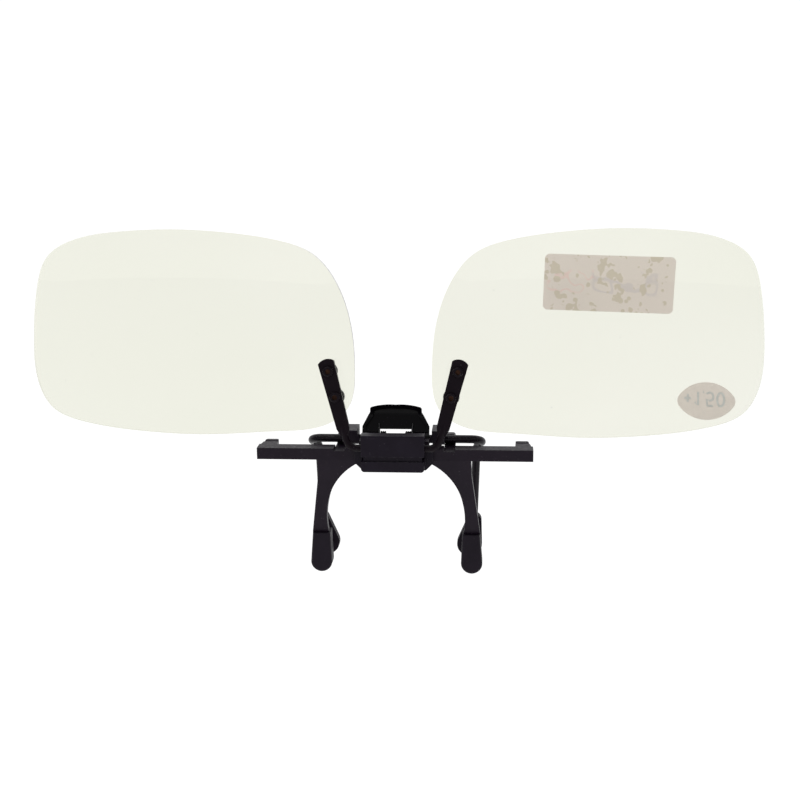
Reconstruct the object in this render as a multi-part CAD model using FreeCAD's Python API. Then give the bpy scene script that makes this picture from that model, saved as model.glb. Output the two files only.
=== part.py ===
import FreeCAD, Part
import math
import os

from FreeCAD import Vector as V

# Clip-on flip lenses: a two-jaw spring clip for spectacles with a flip-up pair of reading lenses.
# Frame: +X to the right seen from the front, +Y to the back, +Z up, millimetres.
# x = 0 is the mirror plane, y = 0 the grip face of the front pads, z = 0 the underside of the rim hooks.

# ---- front jaw frame -------------------------------------------------------------------------
WING_HALF = 29.0            # half width of the crossbar
BAR_FRONT_Y = -6.0
BAR_BACK_Y = -2.8
BAR_TOP_Z = 1.0
BAR_BOTTOM_Z = -1.45
HOOK_BACK_Y = 1.3
HOOK_INNER_X = 25.3
HOOK_OUTER_X = 28.7
HOOK_TAPER = 0.6
HOOK_CORNER_R = 0.5
LEG_OUTER_TOP_X = 16.1
LEG_OUTER_KNEE = (16.2, -4.9)
LEG_OUTER_LOW = (18.05, -18.6)
LEG_INNER_LOW = (14.5, -18.6)
ARCH_TOP = (7.6, -2.1)
ARCH_MID = (11.75, -5.6)
ARCH_LOW = (14.36, -11.4)
ARCH_FOOT_MID = (14.78, -14.6)
LEG_LOW_FRONT_Y = -2.9
LEG_LOW_BACK_Y = -1.5
TANG_HALF = 0.95            # half width of the leg end inside the pad
TANG_X = 16.3
TANG_BOTTOM_Z = -25.2
BRIDGE_HALF = 7.3
BRIDGE_TOP_Z = 2.7
BRIDGE_BACK_Y = -3.6
EAR_IN_X = 7.84
EAR_OUT_X = 10.4
EAR_TOP_Z = 4.55
EAR_FRONT_Y = -4.4
EAR_FRONT_Z = 1.95
EAR_BACK_Y = 0.95
KNUCKLE_R = 1.25
LUG_OUT_X = 12.7
LUG_FLOOR_Z = 0.5
LUG_TOP_Z = 2.55
LUG_BACK_Y = 2.4
LUG_CORNER_R = 0.6
LAP = 0.2                   # how far joined shapes reach into each other

# ---- rubber pads -----------------------------------------------------------------------------
PAD_TOP_Z = -18.6
PAD_TOP_IN_X = 14.2
PAD_TOP_OUT_X = 18.0
PAD_TIP = (16.25, -25.25)
PAD_TIP_R = 2.3
PAD_FRONT_Y = -3.6
PAD_EDGE_R = 0.6
REAR_PAD_TOP = (16.75, -17.5)
REAR_PAD_TOP_R = 1.55
REAR_PAD_TIP = (15.7, -22.85)
REAR_PAD_TIP_R = 2.72
REAR_PAD_GRIP_Y = 2.4       # jaw gap of the clip closed on a spectacle lens
REAR_PAD_BACK_Y = 5.1
REAR_PAD_EDGE_R = 0.9

# ---- hinge housing ---------------------------------------------------------------------------
BOX_HALF = 6.54
BOX_FRONT_Y = -10.4
BOX_TOP_Z = 4.99
BOX_TOP_BACK_Y = -7.8
BOX_SIDE_BACK_Z = 3.6
SHEET = 0.5
GROOVE_TOP_Z = 0.5
GROOVE_BOTTOM_Z = -0.55
LIP_BOTTOM_Z = -2.75
LIP_CORNER_R = 0.7
BASE_PLATE_FRONT_Y = -6.8
BASE_PLATE_TOP = (8.2, 1.1)
BASE_PLATE_SIDE = (8.2, -1.8)
BASE_PLATE_BOTTOM = (6.7, -3.3)
RIVET_X = 3.6
RIVET_Z = -0.3
RIVET_SHANK_R = 0.5
RIVET_HEAD_R = 0.95
RIVET_HEAD_T = 0.5

# ---- flip axle, detent and arms --------------------------------------------------------------
AXLE_Y = -8.5
AXLE_Z = 1.9
AXLE_R = 0.75
BORE_CLEARANCE = 0.05
LEAN_DEG = 8.2              # the raised lenses lean back from the vertical
CAM_HALF = 1.0
CAM_CORNER_R = 1.34
CAM_LENGTH_HALF = 4.0
LEAF_OUTER_R = 1.14
LEAF_INNER_R = 0.86
LEAF_CENTRE = (-8.75, 4.1)
LEAF_HALF = 3.6
SPLAY_DEG = 14.5            # the strips splay outwards
STRIP_FOOT_X = 9.25         # where the strip's line meets the axle's line
ARM_BEND_R = 2.3
STRIP_T = 1.0
STRIP_TOP_S = 19.0          # along the strip, from the axle's line
STRIP_TOP_W = 3.4
STRIP_LOW_S = 4.4
STRIP_LOW_W = 2.7
STRIP_ROOT_S = 2.8
STRIP_ROOT_W = 1.7
STRIP_END_SAG = 0.7
HOLE_S = (10.9, 16.4)      # the two screws of each strip

# ---- lenses ----------------------------------------------------------------------------------
# outline of the right lens: x from the mirror plane and height above the flip axle
LENS_OUTLINE = [
    (8.0, 14.0), (8.7, 25.0), (12.1, 34.8), (16.4, 39.9), (23.5, 42.7), (34.0, 44.3),
    (44.5, 44.95), (56.0, 44.5), (65.2, 42.8), (70.4, 39.6), (72.9, 33.0), (73.9, 22.5),
    (73.2, 13.5), (70.4, 8.3), (64.0, 5.3), (52.0, 3.3), (38.0, 2.6), (24.0, 3.3),
    (13.8, 4.8), (9.4, 8.2)]
LENS_CENTRE = (41.2, 23.8)
LENS_BACK_R = 400.0         # concave face, towards the eye
LENS_FRONT_R = 154.0        # convex face: together about +2 dioptres
LENS_CENTRE_T = 3.3
LENS_SEAT_T = 1.5           # thickness left under the spot faces

# ---- lens fasteners, measured along the lens axis from the middle of the strips ----------------
CUSHION_T = 0.3
CUSHION_R = 1.3
WASHER_T = 0.25
WASHER_R = 1.7
NUT_R = 1.1
NUT_T = 0.9
NUT_DOME_R = 0.4
SCREW_R = 0.55
SCREW_CLEAR_R = 0.62
SCREW_HEAD_R = 1.25
SCREW_HEAD_T = 0.8
SCREW_RECESS = 0.45         # the shank ends this far inside the nut
SLOT_W = 0.28
SLOT_DEPTH = 0.35
SPOT_FACE_R = 1.85

# ---- stickers on the right lens ---------------------------------------------------------------
STICKER_T = 0.08
LABEL_CENTRE = (43.75, 33.95)
LABEL_SIZE = (26.0, 11.35)
LABEL_TILT_DEG = 1.9
LABEL_CORNER_R = 1.0
POWER_CENTRE = (63.4, 10.4)
POWER_SIZE = (11.7, 7.6)
POWER_TIP_R = 2.0

# ---- rear jaw --------------------------------------------------------------------------------
PIVOT_Y = -0.3
PIVOT_Z = 1.75
WIRE_R = 0.88
WIRE_OUT_X = 19.6
WIRE_BEND_R = 2.3
WIRE_KNEE = V(17.15, 4.18, -0.6)
WIRE_KNEE_R = 2.4
WIRE_END = V(16.4, 3.75, -22.2)
LEVER_LEAN_DEG = 15.0
LEVER_HALF = 7.15
LEVER_WIDE_T = 2.6          # heights t are measured up the tab from the pivot
LEVER_SHOULDER = (5.95, 4.9)
LEVER_LIP_HALF = 5.5
LEVER_LIP_LOW_T = 5.6
LEVER_LIP_HIGH_T = 6.6
LEVER_CROWN = (3.4, 7.08)
LEVER_TOP_T = 7.2
LEVER_RIM_W = 0.75
LEVER_CORNER_R = 0.5
LEVER_DEPTH = 4.0           # half depth of the tools that shape the tab
# side view of the tab as (y, t): dish, raised rim with its lip, and back face
DISH_LOW = (-0.45, 0.6)
DISH_MID = (0.15, 4.0)
DISH_HIGH = (-0.55, 7.4)
RIM_LOW = (-0.8, 1.4)
RIM_MID = (-0.6, 4.0)
RIM_HIGH = (-1.75, 7.4)
BACK_HIGH = (0.35, 7.4)
BACK_MID = (1.05, 4.0)
BACK_LOW = (0.45, 0.6)
WINDOW_HALF = 3.65
WINDOW_TOP_T = 2.0
HUB_R = 1.5
HUB_IN_X = 3.9

# ---- clamp torsion spring ---------------------------------------------------------------------
SPRING_WIRE_R = 0.2
SPRING_MEAN_R = 1.42
SPRING_PITCH = 0.42
SPRING_IN_X = 2.25
SPRING_START_DEG = -3.2     # from the top of the coil, turning backwards and down
SPRING_SWEEP_DEG = 1034.1
SPRING_ARCS = 12
SPRING_TOE_LENGTH = 2.9
SPRING_LOOP_LENGTH = 4.4
SPRING_LOOP_R = 0.5

FAR = 100.0
TINY = 1e-6


def box(x0, x1, y0, y1, z0, z1):
    return Part.makeBox(x1 - x0, y1 - y0, z1 - z0, V(x0, y0, z0))


def rod(start, end, radius):
    direction = end - start
    return Part.makeCylinder(radius, direction.Length, start, direction)


def mirrored(shape):
    return shape.mirror(V(0, 0, 0), V(1, 0, 0))


def fused(shapes):
    return shapes[0].multiFuse(shapes[1:]).removeSplitter()


def on_both_sides(shape):
    return fused([shape, mirrored(shape)])


def pair_of(shape):
    return Part.makeCompound([shape, mirrored(shape)])


def outline(start, steps, place):
    """Closed face from a start point and steps: (x, z) is a line, (mid, end) an arc."""
    edges = []
    here = start
    for step in steps:
        if isinstance(step[0], tuple):
            edges.append(Part.Arc(place(here), place(step[0]), place(step[1])).toShape())
            here = step[1]
        else:
            edges.append(Part.LineSegment(place(here), place(step)).toShape())
            here = step
    if here != start:
        edges.append(Part.LineSegment(place(here), place(start)).toShape())
    return Part.Face(Part.Wire(edges))


def front_prism(start, steps, y0, y1):
    face = outline(start, steps, lambda p: V(p[0], y0, p[1]))
    return face.extrude(V(0, y1 - y0, 0))


def side_prism(start, steps, x0, x1):
    face = outline(start, steps, lambda p: V(x0, p[0], p[1]))
    return face.extrude(V(x1 - x0, 0, 0))


def teardrop(top, top_r, tip, tip_r, y0, y1):
    """Hull of two circles in front view, extruded from y0 to y1."""
    gap = math.hypot(top[0] - tip[0], top[1] - tip[1])
    along = math.atan2(top[1] - tip[1], top[0] - tip[0])
    swing = math.acos((tip_r - top_r) / gap)

    def rim(centre, radius, angle):
        return (centre[0] + radius * math.cos(angle), centre[1] + radius * math.sin(angle))

    left, right = along + swing, along - swing
    return front_prism(
        rim(tip, tip_r, left),
        [(rim(tip, tip_r, along + math.pi), rim(tip, tip_r, right)),
         rim(top, top_r, right),
         (rim(top, top_r, along), rim(top, top_r, left))],
        y0, y1)


def rounded_path(points, radii):
    """Straight runs joined by tangent arcs, one radius per inner corner."""
    edges = []
    here = points[0]
    for i, radius in enumerate(radii):
        corner = points[i + 1]
        back = (points[i] - corner).normalize()
        ahead = (points[i + 2] - corner).normalize()
        half = back.getAngle(ahead) / 2.0
        reach = radius / math.tan(half)
        enter = corner + back * reach
        leave = corner + ahead * reach
        middle = (back + ahead).normalize()
        crown = corner + middle * (radius / math.sin(half) - radius)
        edges.append(Part.LineSegment(here, enter).toShape())
        edges.append(Part.Arc(enter, crown, leave).toShape())
        here = leave
    edges.append(Part.LineSegment(here, points[-1]).toShape())
    return Part.Wire(edges)


def swept_rod(points, radii, radius):
    path = rounded_path(points, radii)
    start = points[0]
    section = Part.Wire(Part.makeCircle(radius, start, points[1] - start))
    return path.makePipeShell([section], True, False)


def raised(shape):
    """From the flat frame of the lens pair (y along the lens axis, z up) to the raised pose."""
    shape.rotate(V(0, 0, 0), V(1, 0, 0), -LEAN_DEG)
    shape.translate(V(0, AXLE_Y, AXLE_Z))
    return shape


def strip_point(along, across=0.0):
    """Point of the right strip: distance from the axle's line along and across it."""
    splay = math.radians(SPLAY_DEG)
    return (STRIP_FOOT_X + along * math.sin(splay) + across * math.cos(splay),
            along * math.cos(splay) - across * math.sin(splay))


def screw_points():
    return [strip_point(s) for s in HOLE_S]


# ---- front jaw -------------------------------------------------------------------------------
def runs_along(edge, axis):
    run = edge.Vertexes[-1].Point - edge.Vertexes[0].Point
    return run.Length > TINY and run.cross(axis).Length < TINY


def hook():
    face = outline(
        (HOOK_INNER_X, BAR_BACK_Y - LAP),
        [(HOOK_OUTER_X, BAR_BACK_Y - LAP),
         (HOOK_OUTER_X - HOOK_TAPER, HOOK_BACK_Y),
         (HOOK_INNER_X + HOOK_TAPER / 4, HOOK_BACK_Y)],
        lambda p: V(p[0], p[1], 0))
    tab = face.extrude(V(0, 0, BAR_TOP_Z))
    corners = [e for e in tab.Edges if runs_along(e, V(0, 0, 1)) and e.CenterOfMass.y > 0]
    return tab.makeFillet(HOOK_CORNER_R, corners)


def leg():
    front_view = front_prism(
        (0.0, BAR_TOP_Z),
        [(LEG_OUTER_TOP_X, BAR_TOP_Z),
         (LEG_OUTER_TOP_X, BAR_BOTTOM_Z),
         LEG_OUTER_KNEE,
         LEG_OUTER_LOW,
         (TANG_X + TANG_HALF, PAD_TOP_Z),
         (TANG_X + TANG_HALF, TANG_BOTTOM_Z),
         (TANG_X - TANG_HALF, TANG_BOTTOM_Z),
         (TANG_X - TANG_HALF, PAD_TOP_Z),
         LEG_INNER_LOW,
         (ARCH_FOOT_MID, ARCH_LOW),
         (ARCH_MID, ARCH_TOP),
         (0.0, ARCH_TOP[1])],
        -FAR, FAR)
    side_view = side_prism(
        (BAR_FRONT_Y, BAR_TOP_Z),
        [(BAR_FRONT_Y, BAR_BOTTOM_Z),
         (LEG_LOW_FRONT_Y, PAD_TOP_Z),
         (LEG_LOW_FRONT_Y, TANG_BOTTOM_Z),
         (LEG_LOW_BACK_Y, TANG_BOTTOM_Z),
         (LEG_LOW_BACK_Y, PAD_TOP_Z),
         (BAR_BACK_Y, BAR_BOTTOM_Z),
         (BAR_BACK_Y, BAR_TOP_Z)],
        -FAR, FAR)
    return front_view.common(side_view)


def ear():
    block = side_prism(
        (EAR_FRONT_Y, EAR_FRONT_Z),
        [(EAR_FRONT_Y, EAR_TOP_Z),
         (EAR_BACK_Y, EAR_TOP_Z),
         (EAR_BACK_Y, PIVOT_Z),
         (PIVOT_Y, PIVOT_Z - KNUCKLE_R / 2),
         (PIVOT_Y - KNUCKLE_R / 2, PIVOT_Z - KNUCKLE_R / 2)],
        EAR_IN_X, EAR_OUT_X)
    knuckle = rod(V(EAR_IN_X, PIVOT_Y, PIVOT_Z), V(EAR_OUT_X, PIVOT_Y, PIVOT_Z), KNUCKLE_R)
    root = front_prism(
        (BRIDGE_HALF - SHEET, EAR_FRONT_Z),
        [(BRIDGE_HALF, BRIDGE_TOP_Z),
         (EAR_IN_X + SHEET, EAR_TOP_Z),
         (EAR_IN_X + SHEET, EAR_FRONT_Z)],
        EAR_FRONT_Y, EAR_FRONT_Y + 2 * SHEET)
    return fused([block, knuckle, root])


def lug():
    x0 = EAR_OUT_X
    floor = box(x0, LUG_OUT_X, BAR_BACK_Y - LAP, LUG_BACK_Y, 0.0, LUG_FLOOR_Z)
    wall_y = PIVOT_Y + WIRE_R + BORE_CLEARANCE + SHEET / 10
    wall = box(x0, LUG_OUT_X, wall_y, LUG_BACK_Y, 0.0, LUG_TOP_Z)
    corner = [e for e in wall.Edges if abs(e.CenterOfMass.x - LUG_OUT_X) < TINY
              and abs(e.CenterOfMass.z - LUG_TOP_Z) < TINY]
    return fused([floor, wall.makeFillet(LUG_CORNER_R, corner)])


def front_jaw_frame():
    bar = box(0.0, WING_HALF, BAR_FRONT_Y, BAR_BACK_Y, BAR_BOTTOM_Z, BAR_TOP_Z)
    bridge = box(0.0, BRIDGE_HALF, BAR_FRONT_Y, BRIDGE_BACK_Y, ARCH_TOP[1], BRIDGE_TOP_Z)
    notch = box(EAR_OUT_X, LUG_OUT_X, -FAR, BAR_BACK_Y + LAP, LUG_FLOOR_Z, FAR)
    right = fused([bar.cut(notch), leg().cut(notch), bridge, hook(), ear(), lug()])
    pivot = rod(V(0, PIVOT_Y, PIVOT_Z), V(FAR, PIVOT_Y, PIVOT_Z), WIRE_R + BORE_CLEARANCE)
    rivet_hole = rod(V(RIVET_X, -FAR, RIVET_Z), V(RIVET_X, FAR, RIVET_Z), RIVET_SHANK_R)
    return on_both_sides(right.cut(pivot).cut(rivet_hole))


def front_pad():
    tip_x, tip_z = PAD_TIP
    body = front_prism(
        (PAD_TOP_IN_X, PAD_TOP_Z),
        [(PAD_TOP_OUT_X, PAD_TOP_Z),
         (tip_x + PAD_TIP_R, tip_z),
         ((tip_x, tip_z - PAD_TIP_R), (tip_x - PAD_TIP_R, tip_z))],
        PAD_FRONT_Y, 0.0)
    front_edges = [e for e in body.Edges
                   if e.BoundBox.YMax < PAD_FRONT_Y + TINY and e.CenterOfMass.z < PAD_TOP_Z - TINY]
    body = body.makeFillet(PAD_EDGE_R, front_edges)
    return body.cut(leg())


# ---- hinge housing ---------------------------------------------------------------------------
def axle_bore(x0, x1):
    return rod(V(x0, AXLE_Y, AXLE_Z), V(x1, AXLE_Y, AXLE_Z), AXLE_R + BORE_CLEARANCE)


def hinge_cover():
    side_view = [(BOX_FRONT_Y, BOX_TOP_Z),
                 (BOX_TOP_BACK_Y, BOX_TOP_Z),
                 (BAR_FRONT_Y, BOX_SIDE_BACK_Z),
                 (BAR_FRONT_Y, GROOVE_TOP_Z)]
    shell = side_prism((BOX_FRONT_Y, GROOVE_TOP_Z), side_view, -BOX_HALF, BOX_HALF)
    sharp = [e for e in shell.Edges
             if abs(e.CenterOfMass.y - BOX_FRONT_Y) < TINY and e.CenterOfMass.z > GROOVE_TOP_Z + TINY]
    shell = shell.makeFillet(SHEET / 2, sharp)
    room = box(-BOX_HALF + SHEET, BOX_HALF - SHEET, BOX_FRONT_Y + SHEET, FAR,
               GROOVE_TOP_Z - SHEET, BOX_TOP_Z - SHEET)
    opening = box(-BOX_HALF + SHEET, BOX_HALF - SHEET, BOX_TOP_BACK_Y, FAR, GROOVE_TOP_Z, FAR)
    return shell.cut(room).cut(opening).cut(axle_bore(-BOX_HALF - 1, BOX_HALF + 1))


def hinge_base():
    """Lip under the cover, a neck up into the cover and a plate with sloping flanks on the frame."""
    lip = box(-BOX_HALF, BOX_HALF, BOX_FRONT_Y + SHEET / 5, BAR_FRONT_Y, LIP_BOTTOM_Z, GROOVE_BOTTOM_Z)
    corners = [e for e in lip.Edges if runs_along(e, V(0, 1, 0)) and e.CenterOfMass.z < LIP_BOTTOM_Z + TINY]
    lip = lip.makeFillet(LIP_CORNER_R, corners)
    neck = box(SHEET - BOX_HALF, BOX_HALF - SHEET, BOX_FRONT_Y + SHEET, BAR_FRONT_Y,
               GROOVE_BOTTOM_Z, GROOVE_TOP_Z)
    plate = front_prism(
        (0.0, GROOVE_TOP_Z),
        [(BOX_HALF, GROOVE_TOP_Z),
         (BOX_HALF, BASE_PLATE_TOP[1]),
         BASE_PLATE_TOP,
         BASE_PLATE_SIDE,
         BASE_PLATE_BOTTOM,
         (0.0, BASE_PLATE_BOTTOM[1])],
        BASE_PLATE_FRONT_Y, BAR_FRONT_Y)
    return fused([lip, neck, plate, mirrored(plate)]).cut(hinge_rivets())


def hinge_rivets():
    shank = rod(V(RIVET_X, AXLE_Y, RIVET_Z), V(RIVET_X, BAR_BACK_Y, RIVET_Z), RIVET_SHANK_R)
    head = rod(V(RIVET_X, BAR_BACK_Y, RIVET_Z), V(RIVET_X, BAR_BACK_Y + RIVET_HEAD_T, RIVET_Z),
               RIVET_HEAD_R)
    rim = [e for e in head.Edges if abs(e.CenterOfMass.y - BAR_BACK_Y - RIVET_HEAD_T) < TINY]
    return pair_of(fused([shank, head.makeFillet(RIVET_HEAD_T / 2, rim)]))


def detent_leaf_spring():
    y, z = LEAF_CENTRE
    ring = rod(V(-LEAF_HALF, y, z), V(LEAF_HALF, y, z), LEAF_OUTER_R)
    ring = ring.cut(rod(V(-LEAF_HALF, y, z), V(LEAF_HALF, y, z), LEAF_INNER_R))
    return ring.common(box(-FAR, FAR, -FAR, FAR, -FAR, BOX_TOP_Z - SHEET))


# ---- flip assembly ---------------------------------------------------------------------------
def strip():
    """Flattened end of the right arm with its two screw holes."""
    corners = [(STRIP_ROOT_S, STRIP_ROOT_W / 2), (STRIP_LOW_S, STRIP_LOW_W / 2),
               (STRIP_TOP_S - STRIP_END_SAG, STRIP_TOP_W / 2)]
    right_edge = [strip_point(s, w) for s, w in corners]
    left_edge = [strip_point(s, -w) for s, w in reversed(corners)]
    steps = right_edge[1:] + [(strip_point(STRIP_TOP_S), left_edge[0])] + left_edge[1:]
    plate = front_prism(right_edge[0], steps, -STRIP_T / 2, STRIP_T / 2)
    for x, z in screw_points():
        plate = plate.cut(rod(V(x, -FAR, z), V(x, FAR, z), SCREW_CLEAR_R))
    return plate


def lens_arm_wire():
    foot = strip_point(0.0)
    end = strip_point(STRIP_LOW_S - 1.0)
    neck_end = strip_point(STRIP_LOW_S + 1.0)
    bent = swept_rod([V(0, 0, 0), V(foot[0], 0, 0), V(end[0], 0, end[1])], [ARM_BEND_R], AXLE_R)
    tip = V(neck_end[0] - end[0], 0, neck_end[1] - end[1])
    neck = Part.makeCone(AXLE_R, STRIP_T / 2, tip.Length, V(end[0], 0, end[1]), tip)
    return raised(on_both_sides(fused([bent, neck, strip()])))


def detent_cam():
    length = 2 * CAM_LENGTH_HALF
    square = box(-CAM_LENGTH_HALF, CAM_LENGTH_HALF, -CAM_HALF, CAM_HALF, -CAM_HALF, CAM_HALF)
    square.translate(V(0, AXLE_Y, AXLE_Z))
    start = V(-CAM_LENGTH_HALF, AXLE_Y, AXLE_Z)
    round_off = Part.makeCylinder(CAM_CORNER_R, length, start, V(1, 0, 0))
    core = Part.makeCylinder(AXLE_R, length, start, V(1, 0, 0))
    return square.common(round_off).cut(core)


def lens_spheres():
    """Back and front spheres of the right lens in the flat frame; the back one is tangent to the
    cushions midway between the two screws."""
    x, z = strip_point(sum(HOLE_S) / 2)
    back_face = STRIP_T / 2 + CUSHION_T
    back = V(x, back_face - LENS_BACK_R, z)
    dx, dz = LENS_CENTRE[0] - x, LENS_CENTRE[1] - z
    pole = V(dx, math.sqrt(LENS_BACK_R ** 2 - dx ** 2 - dz ** 2), dz).normalize()
    front = back + pole * (LENS_BACK_R + LENS_CENTRE_T - LENS_FRONT_R)
    return back, front


def lens_blank(points, grow):
    """Body between the two lens spheres, cut to an outline; grow moves the front face out."""
    back, front = lens_spheres()
    curve = Part.BSplineCurve()
    curve.interpolate([V(x, 0, z) for x, z in points], True)
    face = Part.Face(Part.Wire(curve.toShape()))
    face.translate(V(0, -LENS_CENTRE_T * 5, 0))
    body = face.extrude(V(0, LENS_CENTRE_T * 8, 0))
    body = body.common(Part.makeSphere(LENS_FRONT_R + grow, front))
    return body.cut(Part.makeSphere(LENS_BACK_R, back))


def lens_body():
    body = lens_blank(LENS_OUTLINE, 0.0)
    seat = STRIP_T / 2 + CUSHION_T + LENS_SEAT_T
    for x, z in screw_points():
        body = body.cut(rod(V(x, -FAR, z), V(x, FAR, z), SCREW_CLEAR_R))
        body = body.cut(rod(V(x, seat, z), V(x, FAR, z), SPOT_FACE_R))
    return body


def lens_right():
    return raised(lens_body())


def lens_left():
    return raised(mirrored(lens_body()))


def ring_at(points, start, thickness, radius, hole):
    solids = []
    for x, z in points:
        disc = rod(V(x, start, z), V(x, start + thickness, z), radius)
        solids.append(disc.cut(rod(V(x, -FAR, z), V(x, FAR, z), hole)))
    return solids


def all_four(solids):
    return raised(Part.makeCompound(solids + [mirrored(s) for s in solids]))


def lens_cushions():
    rings = ring_at(screw_points(), STRIP_T / 2, CUSHION_T, CUSHION_R, SCREW_CLEAR_R)
    return all_four([ring.cut(lens_body()) for ring in rings])


def lens_washers():
    start = STRIP_T / 2 + CUSHION_T + LENS_SEAT_T
    return all_four(ring_at(screw_points(), start, WASHER_T, WASHER_R, SCREW_CLEAR_R))


def lens_nuts():
    """Round nuts with a domed outer rim."""
    outer_y = -STRIP_T / 2 - NUT_T
    rounded = []
    for nut in ring_at(screw_points(), outer_y, NUT_T, NUT_R, SCREW_R):
        rim = [e for e in nut.Edges
               if abs(e.CenterOfMass.y - outer_y) < TINY and e.Curve.Radius > SCREW_R + TINY]
        rounded.append(nut.makeFillet(NUT_DOME_R, rim))
    return all_four(rounded)


def lens_screws():
    """Cross-slotted round heads on the far side of the lens."""
    head_y = STRIP_T / 2 + CUSHION_T + LENS_SEAT_T + WASHER_T
    top_y = head_y + SCREW_HEAD_T
    floor_y = top_y - SLOT_DEPTH
    tip_y = -STRIP_T / 2 - NUT_T + SCREW_RECESS
    r, w = SCREW_HEAD_R, SLOT_W / 2
    screws = []
    for x, z in screw_points():
        head = rod(V(x, head_y, z), V(x, top_y, z), r)
        rim = [e for e in head.Edges if abs(e.CenterOfMass.y - top_y) < TINY]
        head = head.makeFillet(SCREW_HEAD_T / 2, rim)
        head = head.cut(box(x - r, x + r, floor_y, FAR, z - w, z + w))
        head = head.cut(box(x - w, x + w, floor_y, FAR, z - r, z + r))
        shank = rod(V(x, tip_y, z), V(x, head_y, z), SCREW_R)
        screws.append(fused([head, shank]))
    return all_four(screws)


def sticker(start, steps, corner_r, centre, tilt):
    """Thin skin on the convex face of the right lens."""
    patch = front_prism(start, steps, -LENS_CENTRE_T * 3, LENS_CENTRE_T * 3)
    patch = patch.makeFillet(corner_r, [e for e in patch.Edges if runs_along(e, V(0, 1, 0))])
    patch.rotate(V(0, 0, 0), V(0, 1, 0), tilt)
    patch.translate(V(centre[0], 0, centre[1]))
    front = lens_spheres()[1]
    skin = patch.common(Part.makeSphere(LENS_FRONT_R + STICKER_T, front))
    return raised(skin.cut(Part.makeSphere(LENS_FRONT_R, front)))


def label_sticker():
    w, h = LABEL_SIZE[0] / 2, LABEL_SIZE[1] / 2
    return sticker((-w, -h), [(w, -h), (w, h), (-w, h)], LABEL_CORNER_R, LABEL_CENTRE, LABEL_TILT_DEG)


def power_sticker():
    w, h = POWER_SIZE[0] / 2, POWER_SIZE[1] / 2
    arcs = [((0.0, h), (w, 0.0)), ((0.0, -h), (-w, 0.0))]
    return sticker((-w, 0.0), arcs, POWER_TIP_R, POWER_CENTRE, 0.0)


# ---- rear jaw --------------------------------------------------------------------------------
def rear_wire_path():
    """Points of the right half: pivot, outer bend, knee behind the rim, foot in the pad."""
    return [V(0, PIVOT_Y, PIVOT_Z), V(WIRE_OUT_X, PIVOT_Y, PIVOT_Z), WIRE_KNEE, WIRE_END]


def rear_wire_half():
    return swept_rod(rear_wire_path(), [WIRE_BEND_R, WIRE_KNEE_R], WIRE_R)


def rear_jaw_wire():
    return on_both_sides(rear_wire_half())


def rear_pad():
    body = teardrop(REAR_PAD_TOP, REAR_PAD_TOP_R, REAR_PAD_TIP, REAR_PAD_TIP_R,
                    REAR_PAD_GRIP_Y, REAR_PAD_BACK_Y)
    back_edges = [e for e in body.Edges if e.BoundBox.YMin > REAR_PAD_BACK_Y - TINY]
    return body.makeFillet(REAR_PAD_EDGE_R, back_edges).cut(rear_wire_half())


def lever_front_view(inset, bottom):
    """Outline of the tab with rounded corners, moved in by an inset, as a deep prism."""
    def moved_in(point):
        return (point[0] - inset, point[1] - inset)

    low = LEVER_HALF - inset
    lip = LEVER_LIP_HALF - inset
    lip_top = LEVER_LIP_HIGH_T - inset
    crown_x, crown_t = moved_in(LEVER_CROWN)
    shoulder_x, shoulder_t = moved_in(LEVER_SHOULDER)
    body = front_prism(
        (-low, bottom),
        [(low, bottom),
         (low, LEVER_WIDE_T),
         (shoulder_x, shoulder_t),
         (lip, LEVER_LIP_LOW_T - inset),
         (lip, lip_top),
         ((crown_x, crown_t), (0.0, LEVER_TOP_T - inset)),
         ((-crown_x, crown_t), (-lip, lip_top)),
         (-lip, LEVER_LIP_LOW_T - inset),
         (-shoulder_x, shoulder_t),
         (-low, LEVER_WIDE_T)],
        -LEVER_DEPTH, LEVER_DEPTH)
    corners = [e for e in body.Edges if runs_along(e, V(0, 1, 0)) and e.CenterOfMass.z > bottom + TINY]
    return body.makeFillet(LEVER_CORNER_R, corners)


def lever_side_view(low, mid, high):
    """Section between a curved front face and the back of the tab, as a prism through everything."""
    return side_prism(low, [(mid, high), BACK_HIGH, (BACK_MID, BACK_LOW)], -FAR, FAR)


def thumb_lever():
    """Concave thumb tab with a raised rim and lip, standing on two hubs round the pivot wire."""
    plate = lever_front_view(0.0, 0.0)
    rim = plate.cut(lever_front_view(LEVER_RIM_W, -LEVER_TOP_T))
    rim = rim.common(lever_side_view(RIM_LOW, RIM_MID, RIM_HIGH))
    tab = fused([plate.common(lever_side_view(DISH_LOW, DISH_MID, DISH_HIGH)), rim])
    tab = tab.cut(box(-WINDOW_HALF, WINDOW_HALF, -FAR, FAR, -FAR, WINDOW_TOP_T))
    hubs = [rod(V(s * HUB_IN_X, 0, 0), V(s * LEVER_HALF, 0, 0), HUB_R) for s in (1, -1)]
    lever = fused([tab] + hubs)
    lever.rotate(V(0, 0, 0), V(1, 0, 0), -LEVER_LEAN_DEG)
    lever.translate(V(0, PIVOT_Y, PIVOT_Z))
    return lever.cut(rod(V(-FAR, PIVOT_Y, PIVOT_Z), V(FAR, PIVOT_Y, PIVOT_Z), WIRE_R))


def coil_point(turned_deg):
    """Point of the right coil's centre line and its direction of travel."""
    angle = math.radians(SPRING_START_DEG + turned_deg)
    slope = SPRING_PITCH / (2 * math.pi * SPRING_MEAN_R)
    place = V(SPRING_IN_X + SPRING_PITCH * turned_deg / 360,
              PIVOT_Y + SPRING_MEAN_R * math.sin(angle),
              PIVOT_Z + SPRING_MEAN_R * math.cos(angle))
    return place, V(slope, math.cos(angle), -math.sin(angle))


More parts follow.
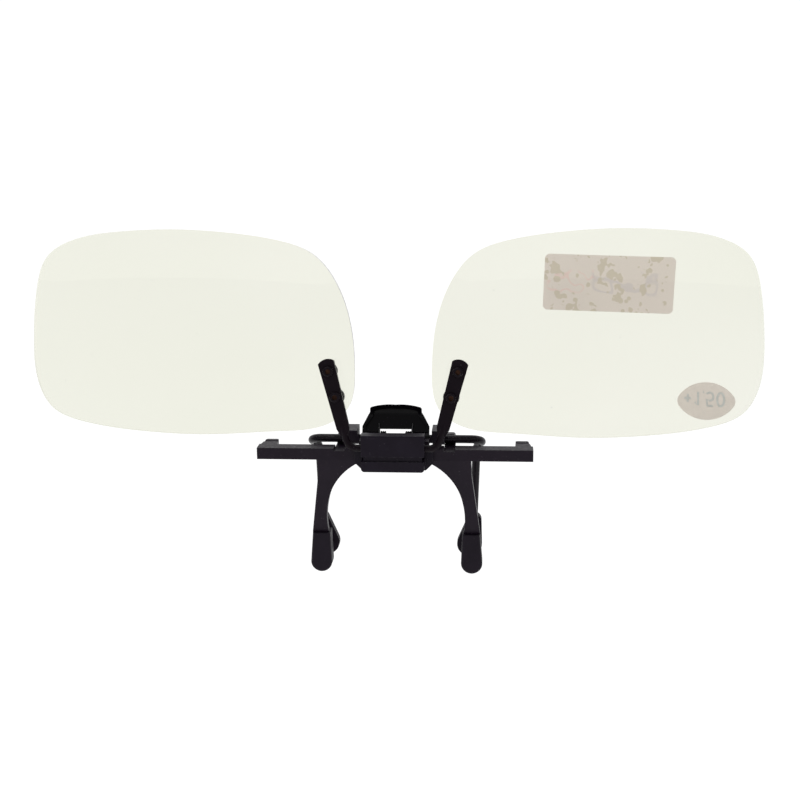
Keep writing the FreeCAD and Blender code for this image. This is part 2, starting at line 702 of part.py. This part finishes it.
def clamp_torsion_spring():
    """Double torsion spring: two coils on the pivot wire, a loop that rests on the bridge in front
    and two toes that push the thumb tab back."""
    steps = [coil_point(SPRING_SWEEP_DEG * i / (2 * SPRING_ARCS)) for i in range(2 * SPRING_ARCS + 1)]
    coil = [place for place, _ in steps]
    toe = coil[-1] + steps[-1][1] * SPRING_TOE_LENGTH
    corner = coil[0] - steps[0][1] * SPRING_LOOP_LENGTH
    right = [Part.LineSegment(toe, coil[-1]).toShape()]
    for i in range(2 * SPRING_ARCS - 2, -1, -2):
        right.append(Part.Arc(coil[i + 2], coil[i + 1], coil[i]).toShape())
    right += rounded_path([coil[0], corner, V(0, corner.y, corner.z)], [SPRING_LOOP_R]).Edges
    left = [mirrored(edge) for edge in reversed(right)]
    section = Part.Wire(Part.makeCircle(SPRING_WIRE_R, toe, coil[-1] - toe))
    return Part.Wire(right + left).makePipeShell([section], True, False)


def build():
    return {
        "front_jaw_frame": front_jaw_frame(),
        "front_pad_right": front_pad(),
        "front_pad_left": mirrored(front_pad()),
        "hinge_cover": hinge_cover(),
        "hinge_base": hinge_base(),
        "hinge_rivets": hinge_rivets(),
        "detent_leaf_spring": detent_leaf_spring(),
        "clamp_torsion_spring": clamp_torsion_spring(),
        "lens_arm_wire": lens_arm_wire(),
        "detent_cam": detent_cam(),
        "lens_right": lens_right(),
        "lens_left": lens_left(),
        "lens_cushions": lens_cushions(),
        "lens_washers": lens_washers(),
        "lens_nuts": lens_nuts(),
        "lens_screws": lens_screws(),
        "label_sticker": label_sticker(),
        "power_sticker": power_sticker(),
        "rear_jaw_wire": rear_jaw_wire(),
        "rear_pad_right": rear_pad(),
        "rear_pad_left": mirrored(rear_pad()),
        "thumb_lever": thumb_lever(),
    }


os.makedirs("parts", exist_ok=True)
for node, shape in build().items():
    shape.exportStep("parts/" + node + ".step")
    sound = shape.isValid() and all(s.isClosed() for s in shape.Solids)
    bounds = shape.BoundBox
    print("%-22s solids %d volume %8.2f %s  x %.2f..%.2f y %.2f..%.2f z %.2f..%.2f" % (
        node, len(shape.Solids), shape.Volume, "ok" if sound else "BROKEN",
        bounds.XMin, bounds.XMax, bounds.YMin, bounds.YMax, bounds.ZMin, bounds.ZMax))
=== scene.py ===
import math

import bpy
from mathutils import Matrix, Vector


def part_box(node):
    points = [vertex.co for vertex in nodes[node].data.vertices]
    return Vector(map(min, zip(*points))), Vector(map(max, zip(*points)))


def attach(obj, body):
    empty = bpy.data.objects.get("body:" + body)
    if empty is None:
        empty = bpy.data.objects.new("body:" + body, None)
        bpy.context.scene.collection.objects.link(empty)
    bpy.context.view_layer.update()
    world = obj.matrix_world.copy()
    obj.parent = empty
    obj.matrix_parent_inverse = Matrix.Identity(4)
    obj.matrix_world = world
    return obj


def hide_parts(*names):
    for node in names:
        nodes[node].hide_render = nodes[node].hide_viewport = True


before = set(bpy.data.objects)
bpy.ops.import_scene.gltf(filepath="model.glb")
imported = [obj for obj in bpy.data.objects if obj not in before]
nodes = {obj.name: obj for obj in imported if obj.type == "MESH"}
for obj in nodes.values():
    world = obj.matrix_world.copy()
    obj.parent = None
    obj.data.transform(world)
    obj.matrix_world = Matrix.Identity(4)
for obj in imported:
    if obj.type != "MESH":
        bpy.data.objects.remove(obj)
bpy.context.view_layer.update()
MM = 0.001

# ---- view, millimetres and degrees -----------------------------------------------------------
CAMERA_YAW_DEG = 4.28
CAMERA_RISE_DEG = 13.69
CAMERA_ROLL_DEG = 0.60
CAMERA_DISTANCE = 260.0
CAMERA_AIM = (0.93, 10.12)      # across the view and above the origin
CAMERA_LENS = 55.23
CAMERA_SENSOR = 36.0
CAMERA_NEAR = 10.0
CAMERA_FAR = 20000.0

# ---- studio, millimetres ---------------------------------------------------------------------
FLOOR_Z = -52.0                 # below the lowered lenses
FLOOR_HALF = 900.0
SWEEP_BACK = 700.0
SWEEP_RADIUS = 400.0
SWEEP_TOP = 1500.0
SWEEP_STEPS = 16
WORLD_FRONT = 0.5
WORLD_BACK = 1.0
WORLD_FADE = (-0.6, 0.3)
LIGHT_SIZE = 500.0
KEY_LIGHT = ("key", (-250, -150, 600), (0, 0, 0), 0.8)
FILL_LIGHT = ("fill", (350, -300, 350), (0, 0, 10), 0.2)

# ---- finishes --------------------------------------------------------------------------------
RESIN_IOR = 1.5                 # lacquer, rubber, gloss plastic and lenses
PAPER_IOR = 1.45
LENS_TINT_DEEP = (0.834, 0.84, 0.746)
LENS_TINT_PALE = (0.85, 0.852, 0.77)
DUST_TONE = (0.12, 0.115, 0.12)
RUBBED_TONE = (0.16, 0.15, 0.16)
RUBBED_SHARE = 0.35
LINT_TONE = (0.2, 0.19, 0.2)
SCUFF_TONE = (0.05, 0.048, 0.052)
BARE_PAPER_TONE = (0.56, 0.49, 0.4)
# smudged print: tone, noise scale, line width, strength, and centre and half size of its area
RED_PRINT = ((0.8, 0.42, 0.42), 300.0, 0.035, 0.4, (("X", 36.3, 5.2), ("Z", 35.6, 2.6)))
GREY_PRINT = ((0.46, 0.42, 0.52), 230.0, 0.045, 0.42, (("X", 47.0, 7.0), ("Z", 35.2, 2.8)))
PRINT_FADE = 0.8                # millimetres at the border of a print area

# the colour sockets of a mix node
MIX_FIRST = 6
MIX_SECOND = 7
MIX_RESULT = 2


# ---- node helpers ----------------------------------------------------------------------------
class Nodes:
    """A small builder round one material's node tree."""

    def __init__(self, name):
        self.material = bpy.data.materials.new(name)
        self.material.use_nodes = True
        self.tree = self.material.node_tree
        self.tree.nodes.clear()
        self.out = self.add("ShaderNodeOutputMaterial")
        self.where = self.add("ShaderNodeTexCoord").outputs["Object"]

    def add(self, kind, **settings):
        node = self.tree.nodes.new(kind)
        for key, value in settings.items():
            setattr(node, key, value)
        return node

    def link(self, source, target):
        self.tree.links.new(source, target)

    def noise(self, scale, detail=3.0, rough=0.5, stretch=(1, 1, 1)):
        """Noise in object space; scale is in cycles per metre."""
        spread = self.add("ShaderNodeMapping")
        spread.inputs["Scale"].default_value = stretch
        self.link(self.where, spread.inputs["Vector"])
        node = self.add("ShaderNodeTexNoise")
        node.inputs["Scale"].default_value = scale
        node.inputs["Detail"].default_value = detail
        node.inputs["Roughness"].default_value = rough
        self.link(spread.outputs["Vector"], node.inputs["Vector"])
        return node.outputs["Fac"]

    def cells(self, scale):
        """Distance to the nearest of many scattered points."""
        node = self.add("ShaderNodeTexVoronoi")
        node.inputs["Scale"].default_value = scale
        self.link(self.where, node.inputs["Vector"])
        return node.outputs["Distance"]

    def grey(self, value, low, high, start=0.0, end=1.0):
        """Value mapped from start..end to low..high, and held beyond both."""
        node = self.add("ShaderNodeMapRange")
        node.inputs["From Min"].default_value = start
        node.inputs["From Max"].default_value = end
        node.inputs["To Min"].default_value = low
        node.inputs["To Max"].default_value = high
        self.link(value, node.inputs["Value"])
        return node.outputs["Result"]

    def mix(self, share, first, second):
        node = self.add("ShaderNodeMix", data_type="RGBA")
        self.link(share, node.inputs["Factor"])
        for socket, value in ((node.inputs[MIX_FIRST], first), (node.inputs[MIX_SECOND], second)):
            if isinstance(value, tuple):
                socket.default_value = (*value, 1.0)
            else:
                self.link(value, socket)
        return node.outputs[MIX_RESULT]

    def maths(self, operation, first, second):
        node = self.add("ShaderNodeMath", operation=operation)
        for socket, value in ((node.inputs[0], first), (node.inputs[1], second)):
            if isinstance(value, (int, float)):
                socket.default_value = value
            else:
                self.link(value, socket)
        return node.outputs[0]

    def edges(self, radius):
        """Worn corners: 1 on a sharp edge, 0 a radius away from it."""
        flat = self.add("ShaderNodeNewGeometry").outputs["Normal"]
        both = self.add("ShaderNodeVectorMath", operation="DOT_PRODUCT")
        self.link(flat, both.inputs[0])
        self.link(self.soft_corners(radius), both.inputs[1])
        return self.grey(both.outputs["Value"], 1.0, 0.0, 0.8, 0.995)

    def bump(self, height, strength, distance, under=None):
        node = self.add("ShaderNodeBump")
        node.inputs["Strength"].default_value = strength
        node.inputs["Distance"].default_value = distance
        self.link(height, node.inputs["Height"])
        if under is not None:
            self.link(under, node.inputs["Normal"])
        return node.outputs["Normal"]

    def soft_corners(self, radius):
        """Normal of a surface whose sharp edges are rounded."""
        node = self.add("ShaderNodeBevel", samples=4)
        node.inputs["Radius"].default_value = radius
        return node.outputs["Normal"]

    def shader(self, **values):
        """Principled shader: a socket is linked, a plain value is set."""
        node = self.add("ShaderNodeBsdfPrincipled")
        for key, value in values.items():
            socket = node.inputs[key.replace("_", " ")]
            if isinstance(value, bpy.types.NodeSocket):
                self.link(value, socket)
            else:
                socket.default_value = value
        self.link(node.outputs[0], self.out.inputs["Surface"])
        return node


def dress(material, *names):
    for name in names:
        for mesh_slot in nodes[name].material_slots:
            mesh_slot.link = "OBJECT"
            mesh_slot.material = material


# ---- materials -------------------------------------------------------------------------------
def lacquer(name, deep, light, gloss, shine):
    """Black lacquer on metal: faint orange peel, uneven depth, rubbed corners and dust."""
    n = Nodes(name)
    clouds = n.noise(260.0, 4.0)
    body = n.mix(n.grey(clouds, 0.0, 1.0, 0.3, 0.7), deep, light)
    dust = n.maths("MULTIPLY", n.grey(n.cells(1300.0), 1.0, 0.0, 0.04, 0.14),
                   n.grey(n.noise(420.0, 3.0), 0.0, 0.6, 0.5, 0.62))
    body = n.mix(dust, body, DUST_TONE)
    rubbed = n.maths("MULTIPLY", n.edges(0.00018),
                     n.grey(n.noise(1500.0, 4.0), 0.0, RUBBED_SHARE, 0.42, 0.65))
    body = n.mix(rubbed, body, RUBBED_TONE)
    rough = n.grey(n.noise(1300.0, 4.0), gloss - 0.05, gloss + 0.08, 0.3, 0.7)
    peel = n.bump(n.noise(3200.0, 3.0), 0.3, 0.00003, n.soft_corners(0.00012))
    n.shader(Base_Color=body, Roughness=rough, Normal=peel, IOR=RESIN_IOR, Specular_IOR_Level=shine)
    return n.material


def steel(name, tone, dark, roughness):
    """Drawn steel: lengthwise streaks, grease in places."""
    n = Nodes(name)
    streaks = n.noise(2500.0, 4.0, 0.6, (0.15, 1.0, 1.0))
    body = n.mix(n.grey(streaks, 0.0, 1.0, 0.3, 0.7), tone, dark)
    rough = n.grey(n.noise(1800.0, 3.0), roughness - 0.08, roughness + 0.12, 0.3, 0.7)
    n.shader(Base_Color=body, Roughness=rough, Metallic=1.0,
             Normal=n.bump(streaks, 0.2, 0.00002, n.soft_corners(0.00006)))
    return n.material


def rubber():
    """Matt rubber with a faint bloom, lint and a fine grain."""
    n = Nodes("soft_rubber")
    bloom = n.grey(n.noise(420.0, 5.0, 0.6), 0.0, 1.0, 0.35, 0.7)
    body = n.mix(bloom, (0.0055, 0.0028, 0.0075), (0.0105, 0.0068, 0.013))
    lint = n.grey(n.cells(1100.0), 0.5, 0.0, 0.02, 0.1)
    body = n.mix(n.maths("MULTIPLY", lint, n.grey(n.noise(300.0), 0.0, 0.5, 0.5, 0.6)),
                 body, LINT_TONE)
    skin = n.bump(n.noise(3600.0, 4.0, 0.65), 0.5, 0.00004, n.soft_corners(0.0003))
    n.shader(Base_Color=body, Roughness=n.grey(bloom, 0.42, 0.6), Normal=skin, IOR=RESIN_IOR,
             Specular_IOR_Level=0.13)
    return n.material


def gloss_tab():
    """Gloss black with a few scuffs along the tab."""
    n = Nodes("gloss_black_tab")
    clouds = n.noise(350.0, 4.0)
    body = n.mix(n.grey(clouds, 0.0, 1.0, 0.35, 0.65), (0.0012, 0.0008, 0.0018), (0.0028, 0.0018, 0.0034))
    scuffs = n.grey(n.noise(700.0, 6.0, 0.7, (1, 1, 4)), 0.0, 1.0, 0.58, 0.72)
    body = n.mix(n.maths("MULTIPLY", scuffs, 0.12), body, SCUFF_TONE)
    n.shader(Base_Color=body, Roughness=n.grey(scuffs, 0.16, 0.34), IOR=RESIN_IOR,
             Specular_IOR_Level=0.12, Normal=n.bump(clouds, 0.12, 0.0001, n.soft_corners(0.00018)))
    return n.material


def brass():
    """Brass gone nearly black, in stains."""
    n = Nodes("dark_brass")
    stain = n.grey(n.noise(2200.0, 5.0, 0.6), 0.0, 1.0, 0.35, 0.65)
    body = n.mix(stain, (0.055, 0.026, 0.017), (0.022, 0.012, 0.009))
    n.shader(Base_Color=body, Metallic=1.0, Roughness=n.grey(stain, 0.3, 0.5),
             Normal=n.bump(n.noise(6000.0, 3.0), 0.3, 0.00002, n.soft_corners(0.00005)))
    return n.material


def nylon(name, pale, deep, clear):
    """Milky nylon that lets some light through."""
    n = Nodes(name)
    cloud = n.noise(1500.0, 3.0)
    body = n.mix(n.grey(cloud, 0.0, 1.0, 0.3, 0.7), pale, deep)
    n.shader(Base_Color=body, Roughness=n.grey(cloud, 0.3, 0.45), Transmission_Weight=clear,
             Normal=n.bump(cloud, 0.2, 0.00003, n.soft_corners(0.00005)))
    return n.material


def lens_glass():
    """Optical resin with a faint yellow-green tint, and a few specks of dust on it."""
    n = Nodes("tinted_lens")
    tint = n.mix(n.grey(n.noise(18.0, 2.0), 0.0, 1.0, 0.35, 0.65), LENS_TINT_DEEP, LENS_TINT_PALE)
    motes = n.maths("MULTIPLY", n.grey(n.cells(240.0), 1.0, 0.0, 0.02, 0.06),
                    n.grey(n.noise(35.0), 0.0, 0.5, 0.5, 0.58))
    tint = n.mix(motes, tint, (0.45, 0.45, 0.42))
    n.shader(Base_Color=tint, Roughness=0.0, IOR=RESIN_IOR, Transmission_Weight=1.0)
    return n.material


def within(n, axis, centre, half, soft):
    """1 inside centre +- half along one object axis, fading over soft."""
    split = n.add("ShaderNodeSeparateXYZ")
    n.link(n.where, split.inputs[0])
    away = n.maths("ABSOLUTE", n.maths("SUBTRACT", split.outputs[axis], centre), 0.0)
    return n.grey(away, 1.0, 0.0, half - soft, half)


def scribble(n, paper, tone, scale, width, strength, spans):
    """Faint wandering strokes inside a rectangle, as of smudged print."""
    ridge = n.maths("ABSOLUTE", n.maths("SUBTRACT", n.noise(scale, 1.0), 0.5), 0.0)
    mask = n.grey(ridge, strength, 0.0, 0.4 * width, width)
    for axis, centre, half in spans:
        mask = n.maths("MULTIPLY", mask, within(n, axis, centre * MM, half * MM, PRINT_FADE * MM))
    return n.mix(mask, paper, tone)


def label_paper():
    """Paper label on the far side of the lens: pale where the glue has taken, brown where it
    has not, with traces of unreadable print. Its emission is painted light, standing in for
    light that comes through the paper."""
    n = Nodes("label_paper")
    large = n.grey(n.noise(330.0, 2.0, 0.45), 0.0, 1.0, 0.6, 0.608)
    spots = n.maths("MULTIPLY", n.grey(n.cells(520.0), 1.0, 0.0, 0.24, 0.27),
                    n.grey(n.noise(700.0, 1.0), 0.0, 1.0, 0.5, 0.52))
    bare = n.maths("MAXIMUM", large, spots)
    fine = n.grey(n.noise(2600.0, 3.0), 0.0, 0.35, 0.4, 0.7)
    paper = n.mix(fine, (0.76, 0.685, 0.695), (0.715, 0.645, 0.645))
    for print_trace in (RED_PRINT, GREY_PRINT):
        paper = scribble(n, paper, *print_trace)
    body = n.mix(bare, paper, BARE_PAPER_TONE)
    # emission: painted light standing in for light that comes through the paper
    n.shader(Base_Color=body, Roughness=n.grey(bare, 0.7, 0.45), IOR=PAPER_IOR,
             Emission_Color=(0.78, 0.7, 0.72, 1.0), Emission_Strength=0.32,
             Normal=n.bump(n.noise(5000.0, 3.0), 0.3, 0.00002))
    return n.material


def power_paper():
    """Plain paper of the oval sticker, with the same emission: painted light standing in for light that
    comes through the paper.
    """
    n = Nodes("power_paper")
    fine = n.grey(n.noise(2400.0, 4.0), 0.0, 1.0, 0.35, 0.65)
    body = n.mix(fine, (0.75, 0.685, 0.695), (0.715, 0.65, 0.66))
    # emission: painted light standing in for light that comes through the paper
    n.shader(Base_Color=body, Roughness=n.grey(fine, 0.5, 0.7), IOR=PAPER_IOR,
             Emission_Color=(0.76, 0.69, 0.7, 1.0), Emission_Strength=0.31,
             Normal=n.bump(fine, 0.2, 0.00002))
    return n.material


def ink(name, deep, pale, painted_glow):
    """Printing ink, slightly uneven; its emission is painted light, standing in for light that comes
    through the paper.
    """
    n = Nodes(name)
    body = n.mix(n.grey(n.noise(3000.0, 3.0), 0.0, 1.0, 0.4, 0.65), deep, pale)
    # emission strength: painted light, nonzero only for the figure seen through the paper
    n.shader(Base_Color=body, Roughness=0.6, IOR=PAPER_IOR,
             Emission_Color=(0.7, 0.72, 0.7, 1.0), Emission_Strength=painted_glow)
    return n.material


dress(lacquer("frame_lacquer", (0.0065, 0.003, 0.0085), (0.01, 0.0055, 0.012), 0.42, 0.15),
      "front_jaw_frame")
dress(lacquer("cover_lacquer", (0.0045, 0.002, 0.007), (0.007, 0.004, 0.0105), 0.4, 0.13),
      "hinge_cover", "hinge_base")
dress(lacquer("arm_lacquer", (0.0038, 0.0014, 0.0034), (0.006, 0.0026, 0.0055), 0.36, 0.1),
      "lens_arm_wire", "lens_nuts", "hinge_rivets")
dress(lacquer("wire_lacquer", (0.0045, 0.002, 0.0055), (0.008, 0.0045, 0.0095), 0.3, 0.18),
      "rear_jaw_wire")
dress(rubber(), "front_pad_left", "front_pad_right", "rear_pad_left", "rear_pad_right")
dress(gloss_tab(), "thumb_lever")
dress(steel("spring_steel", (0.05, 0.048, 0.05), (0.025, 0.025, 0.027), 0.34), "clamp_torsion_spring")
dress(steel("leaf_steel", (0.5, 0.5, 0.5), (0.3, 0.3, 0.31), 0.3), "detent_leaf_spring", "detent_cam")
dress(brass(), "lens_screws")
dress(nylon("pale_nylon", (0.62, 0.62, 0.58), (0.75, 0.75, 0.72), 0.35), "lens_cushions")
dress(nylon("smoked_nylon", (0.16, 0.15, 0.17), (0.09, 0.085, 0.1), 0.3), "lens_washers")
dress(lens_glass(), "lens_left", "lens_right")
label = label_paper()
power = power_paper()
dress(label, "label_sticker")
dress(power, "power_sticker")
for lens in ("lens_left", "lens_right"):
    nodes[lens].visible_shadow = False


# ---- stickers --------------------------------------------------------------------------------
STICKER_LIFT = 0.025            # millimetres


def lift_sticker(name, paint):
    """A copy a hair off the lens, because two touching faces show through each other in patches."""
    skin = nodes[name]
    mesh = skin.data.copy()
    mesh.materials.clear()
    mesh.materials.append(paint)
    piece = bpy.data.objects.new(name + "_lifted", mesh)
    piece.matrix_world = Matrix.Translation((0, STICKER_LIFT * MM, 0)) @ skin.matrix_world
    bpy.context.collection.objects.link(piece)
    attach(piece, "lens_pair")
    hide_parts(name)


# ---- printed figure on the oval sticker ------------------------------------------------------
ROUND_STEPS = 16
TURNS = [2 * math.pi * k / ROUND_STEPS for k in range(ROUND_STEPS + 1)]
ROUND = [(0.5 + 0.5 * math.sin(turn), 0.5 - 0.5 * math.cos(turn)) for turn in TURNS]
# each character: its offset in cells, then its strokes in a unit cell, x to the right and z up
FIGURE = (
    (0.0, [[(0.0, 0.5), (1.0, 0.5)], [(0.5, 0.2), (0.5, 0.8)]]),
    (1.45, [[(0.1, 0.78), (0.55, 1.0), (0.55, 0.0)]]),
    (2.45, [[(0.25, 0.0), (0.4, 0.0)]]),
    (3.2, [[(0.95, 1.0), (0.15, 1.0), (0.05, 0.52), (0.5, 0.64), (0.9, 0.52), (1.0, 0.3),
            (0.85, 0.08), (0.45, 0.0), (0.0, 0.12)]]),
    (4.75, [ROUND]),
)
FIGURE_WIDTH = 5.75             # in cells
FIGURE_CELL = (1.33, 2.65)      # this and the rest in millimetres
FIGURE_STROKE = 0.42
FIGURE_SHIFT = (-0.4, 0.45)
INK_LIFT = 0.04
RAY_START = 20.0


def print_figure(name, side, paint):
    """The figure laid on one side of the oval sticker; it reads upright with the lenses down."""
    paper = nodes["power_sticker"]
    near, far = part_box("power_sticker")
    middle = [(near[i] + far[i]) / 2 / MM for i in range(3)]
    inverse = paper.matrix_world.inverted()
    points, faces = [], []

    def on_paper(x, z):
        start = Vector((x, middle[1] + side * RAY_START, z)) * MM
        aim = Vector((0, -side, 0))
        hit, place, _, _ = paper.ray_cast(inverse @ start, inverse.to_3x3() @ aim)
        if not hit:
            raise RuntimeError("the figure falls off its sticker")
        return paper.matrix_world @ place - aim * INK_LIFT * MM

    def cell(offset, x, z):
        return (middle[0] + FIGURE_SHIFT[0] + (offset + x - FIGURE_WIDTH / 2) * FIGURE_CELL[0],
                middle[2] + FIGURE_SHIFT[1] - (z - 0.5) * FIGURE_CELL[1])

    for offset, strokes in FIGURE:
        for stroke in strokes:
            line = [cell(offset, x, z) for x, z in stroke]
            for i, (x, z) in enumerate(line):
                ahead = line[min(i + 1, len(line) - 1)]
                behind = line[max(i - 1, 0)]
                run = Vector((ahead[0] - behind[0], ahead[1] - behind[1])).normalized()
                across = Vector((-run.y, run.x)) * FIGURE_STROKE / 2
                points.append(on_paper(x + across.x, z + across.y))
                points.append(on_paper(x - across.x, z - across.y))
                if i:
                    last = len(points)
                    faces.append((last - 4, last - 3, last - 1, last - 2))
    mesh = bpy.data.meshes.new(name)
    mesh.from_pydata(points, [], faces)
    piece = bpy.data.objects.new(name, mesh)
    mesh.materials.append(paint)
    bpy.context.collection.objects.link(piece)
    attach(piece, "lens_pair")


# painted shade and painted light: a grey figure on the back of the sticker stands in for the front print
# seen against light through the paper
print_figure("figure_through_paper", -1,
             ink("painted_ink_shade_through_paper", (0.56, 0.56, 0.56), (0.62, 0.62, 0.62), 0.14))
print_figure("figure_on_paper", 1, ink("black_ink", (0.02, 0.02, 0.022), (0.06, 0.06, 0.065), 0.0))
lift_sticker("label_sticker", label)
lift_sticker("power_sticker", power)


# ---- studio ----------------------------------------------------------------------------------
def studio_paper():
    """White paper lit from below, as on a light table."""
    n = Nodes("studio_paper")
    cloud = n.grey(n.noise(3.0, 4.0), 0.0, 1.0, 0.3, 0.7)
    body = n.mix(cloud, (0.3, 0.3, 0.3), (0.34, 0.34, 0.34))
    n.shader(Base_Color=body, Roughness=n.grey(cloud, 0.85, 0.95), IOR=1.3, Specular_IOR_Level=0.1,
             Emission_Color=(1.0, 1.0, 1.0, 1.0), Emission_Strength=0.79)
    return n.material


def make_sweep():
    """Pale floor that curves up behind the object."""
    rows = [(-FLOOR_HALF, FLOOR_Z)]
    for step in range(SWEEP_STEPS + 1):
        angle = math.pi / 2 * step / SWEEP_STEPS
        rows.append((SWEEP_BACK - SWEEP_RADIUS + SWEEP_RADIUS * math.sin(angle),
                     FLOOR_Z + SWEEP_RADIUS * (1 - math.cos(angle))))
    rows.append((SWEEP_BACK, SWEEP_TOP))
    points = [(x * MM, y * MM, z * MM) for y, z in rows for x in (-FLOOR_HALF, FLOOR_HALF)]
    faces = [(2 * i, 2 * i + 1, 2 * i + 3, 2 * i + 2) for i in range(len(rows) - 1)]
    mesh = bpy.data.meshes.new("studio_sweep")
    mesh.from_pydata(points, [], faces)
    mesh.polygons.foreach_set("use_smooth", [True] * len(faces))
    sweep = bpy.data.objects.new("studio_sweep", mesh)
    sweep.data.materials.append(studio_paper())
    bpy.context.collection.objects.link(sweep)


def make_light(name, place, aim, watts):
    lamp = bpy.data.lights.new(name, "AREA")
    lamp.shape = "DISK"
    lamp.size = LIGHT_SIZE * MM
    lamp.energy = watts
    holder = bpy.data.objects.new(name, lamp)
    holder.location = Vector(place) * MM
    holder.rotation_mode = "QUATERNION"
    holder.rotation_quaternion = (Vector(aim) - Vector(place)).to_track_quat("-Z", "Y")
    bpy.context.collection.objects.link(holder)


def make_world():
    """White above and behind, dimmer in front, as in a light tent with an opening for the camera."""
    world = bpy.data.worlds.new("light_tent")
    world.use_nodes = True
    tree = world.node_tree
    tree.nodes.clear()
    where = tree.nodes.new("ShaderNodeTexCoord")
    split = tree.nodes.new("ShaderNodeSeparateXYZ")
    tree.links.new(where.outputs["Generated"], split.inputs[0])
    front = tree.nodes.new("ShaderNodeMapRange")
    front.interpolation_type = "SMOOTHSTEP"
    front.inputs["From Min"].default_value = WORLD_FADE[0]
    front.inputs["From Max"].default_value = WORLD_FADE[1]
    front.inputs["To Min"].default_value = WORLD_FRONT
    front.inputs["To Max"].default_value = WORLD_BACK
    tree.links.new(split.outputs["Y"], front.inputs["Value"])
    back = tree.nodes.new("ShaderNodeBackground")
    back.inputs["Color"].default_value = (1.0, 1.0, 1.0, 1.0)
    tree.links.new(front.outputs["Result"], back.inputs["Strength"])
    out = tree.nodes.new("ShaderNodeOutputWorld")
    tree.links.new(back.outputs[0], out.inputs["Surface"])
    bpy.context.scene.world = world


def make_camera():
    """Camera at the photograph's angle: turned, looking down and slightly rolled."""
    yaw, rise, roll = (math.radians(v) for v in (CAMERA_YAW_DEG, CAMERA_RISE_DEG, CAMERA_ROLL_DEG))
    across = Vector((math.cos(yaw), math.sin(yaw), 0))
    away = Vector((-math.sin(yaw), math.cos(yaw), 0))
    gaze = away * math.cos(rise) - Vector((0, 0, 1)) * math.sin(rise)
    up = away * math.sin(rise) + Vector((0, 0, 1)) * math.cos(rise)
    right = across * math.cos(roll) - up * math.sin(roll)
    top = across * math.sin(roll) + up * math.cos(roll)
    place = across * CAMERA_AIM[0] + Vector((0, 0, CAMERA_AIM[1])) - gaze * CAMERA_DISTANCE
    data = bpy.data.cameras.new("camera")
    data.sensor_width = CAMERA_SENSOR
    data.lens = CAMERA_LENS
    data.clip_start = CAMERA_NEAR * MM
    data.clip_end = CAMERA_FAR * MM
    camera = bpy.data.objects.new("camera", data)
    turn = Matrix((right, top, -gaze)).transposed().to_4x4()
    camera.matrix_world = Matrix.Translation(place * MM) @ turn
    bpy.context.collection.objects.link(camera)
    bpy.context.scene.camera = camera


make_camera()
make_sweep()
make_world()
make_light(*KEY_LIGHT)
make_light(*FILL_LIGHT)
bpy.context.scene.view_settings.view_transform = "Standard"
